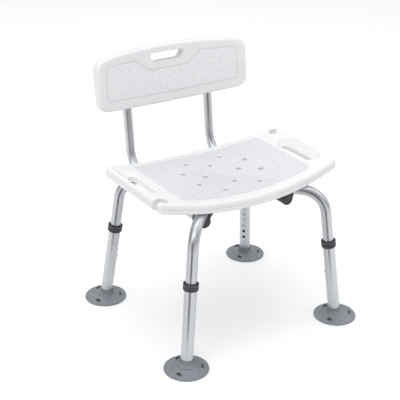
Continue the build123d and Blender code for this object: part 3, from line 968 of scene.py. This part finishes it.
@dataclass
class Foot:
    """Suction foot: beaded disc with rings above and below, leaned socket and three arched tabs."""

    radius: float = 51.75
    bead: float = 1.2
    rim: float = 3.2
    dome: float = 10.0
    neck: float = 17.05
    bore: float = 14.45
    floor: float = 7.0
    height: float = 24.0
    tab_reach: float = 37.0
    tab_width: float = 11.0
    tab_height: float = 8.0
    tab_hole: float = 2.6
    tab_thickness: float = 3.0
    tab_angles: tuple[int, ...] = (-30, 90, 210)

    def disc(self) -> Shape:
        """The disc, with a raised ring on its slope and suction ridges underneath.

        Returns:
            The shape about the foot's centre on the floor.
        """
        edge = self.radius
        upper = [(0, self.dome), (self.neck + 5, self.dome), (self.neck + 12, 7.1), (33.0, 6.1), (33.5, 6.9)]
        upper += [(34.7, 6.7), (35.2, 5.7), (edge - 7.5, 3.5), (edge - 3.6, self.rim), (edge - 2.4, self.rim)]
        upper += [(edge - 1.3, self.rim + self.bead), (edge, self.rim - 0.2), (edge, 0), (edge - 3.5, 0)]
        under = [(edge - 4.7, 1.2)]
        for ridge in (40.0, 32.0, 24.0):
            under += [(ridge + 1.4, 1.9), (ridge + 0.5, 1.0), (ridge - 0.5, 1.0), (ridge - 1.4, 2.3)]
        under += [(self.neck, 3.4), (0, 3.4)]
        return lathe(rounded(upper + under, 1.4, 3), 96)

    def socket(self) -> Shape:
        """The flared socket that the leg stands in, with a rolled rim.

        Returns:
            The shape about the leg's axis.
        """
        neck, dome, top, base = self.neck, self.dome, self.height, self.floor - 1.5
        outline = [(0, base), (neck + 5, base), (neck + 5.2, dome - 0.3), (neck + 2.2, dome + 2.4)]
        outline += [(neck, dome + 6.5), (neck, top - 2.2), (neck + 0.5, top - 1.8), (neck + 0.5, top)]
        outline += [(self.bore, top), (self.bore, self.floor), (0, self.floor)]
        return lathe(rounded(outline, 1.6, 4), 72)

    def tab(self) -> Shape:
        """One arched tab with a hole, in the X-Z plane.

        Returns:
            The shape, standing on its own foot.
        """
        half, steps = self.tab_width / 2, 28
        centre = self.tab_height - half
        shape = bmesh.new()
        rings = []
        for radius in (half, self.tab_hole):
            ring = bmesh.ops.create_circle(shape, cap_ends=False, segments=steps, radius=radius * MM)["verts"]
            rings.append([e for e in shape.edges if e.verts[0] in ring])
        bmesh.ops.bridge_loops(shape, edges=rings[0] + rings[1])
        lift = Matrix.Translation((0, self.tab_thickness / 2 * MM, centre * MM))
        shape.transform(lift @ Matrix.Rotation(pi / 2, 4, "X"))
        sides = bmesh.ops.extrude_face_region(shape, geom=shape.faces[:])
        moved = [v for v in sides["geom"] if isinstance(v, bmesh.types.BMVert)]
        bmesh.ops.translate(shape, verts=moved, vec=(0, -self.tab_thickness * MM, 0))
        for vert in shape.verts:
            vert.co.z = max(vert.co.z, -0.4 * MM)
        bmesh.ops.recalc_face_normals(shape, faces=shape.faces)
        rims = [e for e in shape.edges if len(e.link_faces) == 2 and e.calc_face_angle(0) > radians(60)]
        bmesh.ops.bevel(
            shape, geom=rims, offset=0.5 * MM, segments=2, profile=0.5, affect="EDGES", material=-1
        )
        return shape

    def shapes(self, centre: Vector, axis: Vector) -> Placed:
        """The disc and the socket.

        Args:
            centre: the disc's centre on the floor.
            axis: up along the leg.

        Returns:
            Their shapes and places.
        """
        leaned = along(centre, axis, Vector((1, 0, 0)))
        return [(self.disc(), Matrix.Translation(centre)), (self.socket(), leaned)]

    def tabs(self, centre: Vector) -> Placed:
        """The three tabs.

        Args:
            centre: the disc's centre on the floor.

        Returns:
            Their shapes and places.
        """
        parts = []
        stand = Matrix.Translation((self.tab_reach * MM, 0, self.rim * MM)) @ Matrix.Rotation(pi / 2, 4, "Z")
        for angle in self.tab_angles:
            turn = Matrix.Rotation(radians(angle), 4, "Z")
            parts.append((self.tab(), Matrix.Translation(centre) @ turn @ stand))
        return parts


@dataclass
class Leg:
    """One adjustable leg: bent upper tube, drilled lower tube, collar, snap button and suction foot."""

    corner: Corner
    foot: Vector
    axis: Vector
    finishes: Finishes
    effects: Effects
    collar_low: float = 192.0
    collar_height: float = 17.0
    bore: float = 13.0
    band: float = 16.85
    sleeve_bore: float = 14.45
    button_along: float = 123.0
    button_tip: float = 16.3
    button_flange: float = 10.2

    def inward(self) -> Vector:
        """The direction that the holes face.

        Returns:
            A unit vector across the leg.
        """
        back = -Vector((self.foot.x, self.foot.y - Chair.CENTRE_Y, 0.0)).normalized()
        return (back - self.axis * back.dot(self.axis)).normalized()

    def collar(self) -> Shape:
        """Ribbed collar with a flared cup round the upper tube.

        Returns:
            The shape about the leg's axis, from the collar's lower edge.
        """
        shoulder, top, band = self.collar_height - 4.0, self.collar_height, self.band
        outline = [(self.sleeve_bore, 0.4), (self.sleeve_bore + 0.5, 0), (band - 0.5, 0), (band, 0.6)]
        for i in range(4):
            low = 1.8 + 2.7 * i
            outline += [(band, low), (band + 0.8, low + 0.45), (band + 0.8, low + 1.65), (band, low + 2.1)]
        outline += [(band, shoulder - 0.2), (band + 1.2, top - 0.6), (band + 0.9, top), (band - 0.6, top)]
        outline += [(band - 1.4, top - 0.6), (self.bore + 0.5, shoulder + 0.9), (self.bore, shoulder)]
        outline += [(self.sleeve_bore, shoulder)]
        return lathe(rounded(outline, 0.35, 2), 96)

    def build(self) -> None:
        """Dresses the leg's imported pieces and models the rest."""
        name, leg = self.corner.value, self.corner.value + "_leg"
        upright = TubeFinish().make(self.effects, self.axis, "_" + name)
        for node in ("leg_tube", "extension_tube"):
            dress(f"{name}_{node}", upright)
        dress(f"{name}_button_spring", self.finishes.spring)
        dress(f"{name}_foot_washer", self.finishes.zinc)
        frame = along(self.foot, self.axis, self.inward())
        Piece(f"{name}_suction_foot", leg, self.finishes.rubber, "foot_rubber", (f"{name}_foot",)).build(
            Foot().shapes(self.foot, self.axis)
        )
        Piece(f"{name}_foot_tabs", leg, self.finishes.bracket, "foot_rubber").build(Foot().tabs(self.foot))
        lift = Matrix.Translation((0, 0, self.collar_low * MM))
        Piece(f"{name}_ribbed_collar", leg, self.finishes.black, "black_plastic", (f"{name}_collar",)).build(
            [(self.collar(), frame @ lift)]
        )
        hole = frame @ Matrix.Translation((0, 0, self.button_along * MM)) @ Matrix.Rotation(pi / 2, 4, "Y")
        Piece(
            f"{name}_snap_button", f"{name}_button", self.finishes.steel, "steel", (f"{name}_leg_button",)
        ).build([(snap_button(self.button_tip, self.button_flange), hole)])


@dataclass
class Panels:
    """The seat and the backrest. Their pebbled fields are in metres from each one's middle."""

    effects: Effects
    seat_margin: float = 0.0714
    seat_half_depth: float = 0.1206
    seat_bow: float = 0.0141
    back_margin: float = 0.0286
    back_low: float = -0.0590
    back_high: tuple[float, float] = (-0.0004, 0.0296)
    back_steps: tuple[float, float] = (0.0590, 0.0945)
    back_bow: float = 0.0104

    def seat(self) -> None:
        """The seat, pebbled inside its grooved line."""
        low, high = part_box("seat_shell")
        mask = PanelMask(
            origin=(low + high) / 2,
            tilt=0.0,
            half_length=(high.x - low.x) / 2 - self.seat_margin,
            low=-self.seat_half_depth,
            high=(self.seat_half_depth, self.seat_half_depth),
            steps=(0.0, 1.0),
            bows=(self.seat_bow, self.seat_bow),
            flat=True,
        )
        # Field colour darker than the border as painted shade, and a darker colour painted as shade in the
        # creases between pebbles.
        finish = PanelFinish("seat_plastic", (0.71, 0.715, 0.725, 1.0), (0.52, 0.525, 0.54, 1.0))
        dress("seat_shell", finish.make(self.effects, mask))

    def backrest(self) -> None:
        """The backrest, pebbled below its grip."""
        low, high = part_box("backrest_panel")
        line = Vector((0.0, Chair.CENTRE_Y + Chair.BACK_SET, Chair.BACK_LINE))
        mask = PanelMask(
            origin=line,
            tilt=Chair.BACK_TILT,
            half_length=(high.x - low.x) / 2 - self.back_margin,
            low=self.back_low,
            high=self.back_high,
            steps=self.back_steps,
            bows=(self.back_bow, 0.0),
            flat=False,
        )
        # Field colour lighter than the border as painted light, and a darker colour painted as shade in the
        # creases between pebbles.
        finish = PanelFinish("backrest_plastic", (0.83, 0.833, 0.84, 1.0), (0.64, 0.645, 0.66, 1.0))
        dress("backrest_panel", finish.make(self.effects, mask))

    def build(self) -> None:
        """Dresses both panels."""
        self.seat()
        self.backrest()


@dataclass
class BackTubes:
    """The two bent tubes that carry the backrest."""

    finishes: Finishes
    effects: Effects
    button_tip: float = 16.3
    button_flange: float = 8.5

    def build(self) -> None:
        """Dresses the tubes and models their buttons."""
        tube = TubeFinish().make(self.effects, Vector((0, sin(radians(Chair.BACK_TILT)), 1.0)), "_back")
        for side in Side:
            name = side.value
            dress(f"{name}_back_tube", tube)
            dress(f"{name}_back_tube_tip", self.finishes.black)
            dress(f"{name}_back_button_spring", self.finishes.spring)
            low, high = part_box(f"{name}_back_button")
            axis = Vector(((low.x + high.x) / 2, (low.y + high.y) / 2, low.z + self.button_tip * MM))
            down = Matrix.Translation(axis) @ Matrix.Rotation(pi, 4, "X")
            Piece(
                f"{name}_back_snap_button",
                f"{name}_back_button",
                self.finishes.steel,
                "steel",
                (f"{name}_back_button",),
            ).build([(snap_button(self.button_tip, self.button_flange), down)])


@dataclass
class Fasteners:
    """Bolts, nuts and screws, with the drives and threads of real ones."""

    finishes: Finishes
    radius: float = 2.5
    head: float = 4.8
    head_height: float = 2.8
    key: float = 1.6
    nut_height: float = 4.0
    pan_head: float = 4.7
    pan_height: float = 2.4
    back_bolt_length: float = 30.0

    def bolt(self, length: float) -> Shape:
        """Button-head bolt with a hexagon socket.

        Args:
            length: below its head, in millimetres.

        Returns:
            The shape, with its head on z = 0.
        """
        top, head, key = self.head_height, self.head, self.key
        outline = [(0, top - 1.6), (key * 1.15, top - 1.6), (key * 1.15, top), (key * 1.5, top)]
        outline += [(0.8 * head, 0.7 * top), (head, 0.35 * top), (head, 0.1), (head - 0.1, 0)]
        outline += [(self.radius, 0), (self.radius, -0.45 * length)]
        outline += threads(self.radius, -0.45 * length, 0.6 - length)
        outline += [(self.radius - 0.7, -length), (0, -length)]
        shape = lathe(outline, 72)
        reshape(shape, top - 1.61, top + 0.01, key * 1.1, key * 1.2, hexagon(key))
        return shape

    def nut(self) -> Shape:
        """Chamfered hexagon nut.

        Returns:
            The shape, standing on z = 0.
        """
        height, across, bore = self.nut_height, 0.87 * self.head, self.radius + 0.02
        outline = [(bore, 0.3), (bore + 0.3, 0), (0.95 * across, 0), (1.16 * across, 0.45)]
        outline += [(1.16 * across, height - 0.45), (0.95 * across, height)]
        outline += [(bore + 0.3, height), (bore, height - 0.3)]
        shape = lathe(outline, 72)
        reshape(shape, -0.1, height + 0.1, 0.9 * across, 1.3 * across, hexagon(across))
        return shape

    def pan_screw(self, length: float) -> Shape:
        """Pan-head screw with a cross recess.

        Args:
            length: below its head, in millimetres.

        Returns:
            The shape, with its head on z = 0.
        """
        head, top = self.pan_head, self.pan_height
        outline = [(0, top - 1.5), (1.1, top - 1.4), (2.3, top - 0.05), (2.6, top), (0.85 * head, 0.75 * top)]
        outline += [(head, 0.3 * top), (head, 0), (self.radius, 0), (self.radius, 8 - length)]
        outline += threads(self.radius, 8 - length, 1.0 - length, 1.2, 0.5)
        outline += [(0, -length)]
        shape = lathe(outline, 72)
        reshape(shape, top - 1.45, top - 0.04, 1.0, 2.4, crosswise(0.55))
        return shape

    def across_arms(self, reach: float, height: float, half: float) -> list[Matrix]:
        """Places on the arms' sides, with Z across the arm.

        Args:
            reach: from the bracket's middle, in metres.
            height: of the bolts.
            half: half the width of an arm.

        Returns:
            One place for each leg.
        """
        places = []
        for bearing in Chair.bearings():
            out = Vector((cos(bearing), sin(bearing), 0.0))
            face = Vector((0, Chair.CENTRE_Y, height)) + out * reach - out.cross(Vector((0, 0, -1))) * half
            places.append(along(face, -out.cross(Vector((0, 0, -1))), out))
        return places

    def build(self) -> None:
        """Models every fastener in place of the plain ones."""
        plate, steel = self.finishes.zinc, self.finishes.steel
        height = middle("frame_bolts").z
        bolts, nuts = [], []
        for place in self.across_arms(Chair.BOLT_REACH, height, Chair.ARM_HALF):
            bolts.append((self.bolt(2 * Chair.ARM_HALF / MM + self.nut_height), place))
            far_side = Matrix.Translation((0, 0, -2 * Chair.ARM_HALF)) @ Matrix.Rotation(pi, 4, "X")
            nuts.append((self.nut(), place @ far_side))
        Piece("arm_bolts", "frame", steel, "steel", ("frame_bolts",)).build(bolts)
        Piece("arm_nuts", "frame", plate, "steel", ("frame_nuts",)).build(nuts)
        low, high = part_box("seat_screws")
        reach = (high.x - low.x) / 2 - self.pan_head * MM
        length = (high.z - low.z) / MM - self.pan_height
        screws = []
        for quarter in range(4):
            out = Matrix.Rotation(quarter * pi / 2, 4, "Z") @ Vector((reach, 0, 0))
            base = Vector((out.x, out.y + Chair.CENTRE_Y, low.z + self.pan_height * MM))
            screws.append((self.pan_screw(length), along(base, Vector((0, 0, -1)), Vector((1, 0, 0)))))
        Piece("bracket_screws", "frame", plate, "steel", ("seat_screws",)).build(screws)
        Piece("back_bolts", "backrest", steel, "steel", ("backrest_screws",)).build(self.backrest_bolts())

    def backrest_bolts(self) -> Placed:
        """The four bolts through the uprights, two on each.

        Returns:
            Their shapes and places.
        """
        low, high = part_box("backrest_screws")
        tilt = radians(Chair.BACK_TILT)
        rear = Vector((0, cos(tilt), -sin(tilt)))
        up = Vector((0, sin(tilt), cos(tilt)))
        found = []
        x = (high.x - low.x) / 2 - self.head * MM
        for side in (-1, 1):
            for height in Chair.BACK_BOLTS:
                axis = Vector((side * x, Chair.upright_y(height), height))
                head = along(axis + rear * Chair.BACK_TUBE_RADIUS, rear, up)
                found.append((self.bolt(self.back_bolt_length), head))
        return found


@dataclass
class Chair:
    """The whole chair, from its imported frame."""

    frame: dict
    CENTRE_Y: ClassVar[float] = -0.018096
    BACK_SET: ClassVar[float] = 0.219
    BACK_LINE: ClassVar[float] = 0.560
    BACK_TILT: ClassVar[float] = 7.0
    BACK_BOLTS: ClassVar[tuple[float, float]] = (0.512, 0.566)
    BACK_TUBE_RADIUS: ClassVar[float] = 0.011
    UPRIGHT_BEHIND: ClassVar[float] = 0.03491
    ARM_HALF: ClassVar[float] = 0.01545
    BOLT_REACH: ClassVar[float] = 0.11809

    @classmethod
    def upright_y(cls, height: float) -> float:
        """Where an upright of the back tubes passes a height.

        Args:
            height: above the floor, in metres.

        Returns:
            The y of its axis, in metres.
        """
        behind = cls.CENTRE_Y + cls.BACK_SET + cls.UPRIGHT_BEHIND
        return behind + tan(radians(cls.BACK_TILT)) * (height - cls.BACK_LINE)

    @classmethod
    def bearings(cls) -> list[float]:
        """The directions of the four legs from the middle.

        Returns:
            Angles in radians, in the order of Corner.
        """
        found = []
        for corner in Corner:
            point = middle(f"{corner.value}_foot_washer")
            found.append(atan2(point.y - cls.CENTRE_Y, point.x))
        return found

    def legs(self, finishes: Finishes, effects: Effects) -> None:
        """Builds the four legs.

        Args:
            finishes: the chair's materials.
            effects: the shared effects.
        """
        axes = {joint["name"]: joint["axis"] for joint in self.frame["joints"]}
        for corner in Corner:
            name = corner.value
            low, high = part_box(f"{name}_foot")
            centre = Vector(((low.x + high.x) / 2, (low.y + high.y) / 2, 0.0))
            Leg(corner, centre, -Vector(axes[f"{name}_leg_slide"]), finishes, effects).build()

    def build(self) -> None:
        """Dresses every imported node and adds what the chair's looks need."""
        effects = Effects()
        finishes = Finishes(effects)
        Panels(effects).build()
        self.legs(finishes, effects)
        BackTubes(finishes, effects).build()
        dress("cross_bracket", finishes.bracket)
        Fasteners(finishes).build()


def main() -> None:
    """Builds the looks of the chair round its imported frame."""
    logging.basicConfig(level=logging.INFO, format="%(name)s: %(message)s")
    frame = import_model()
    Chair(frame).build()
    Studio().build()


if __name__ == "__main__":
    main()
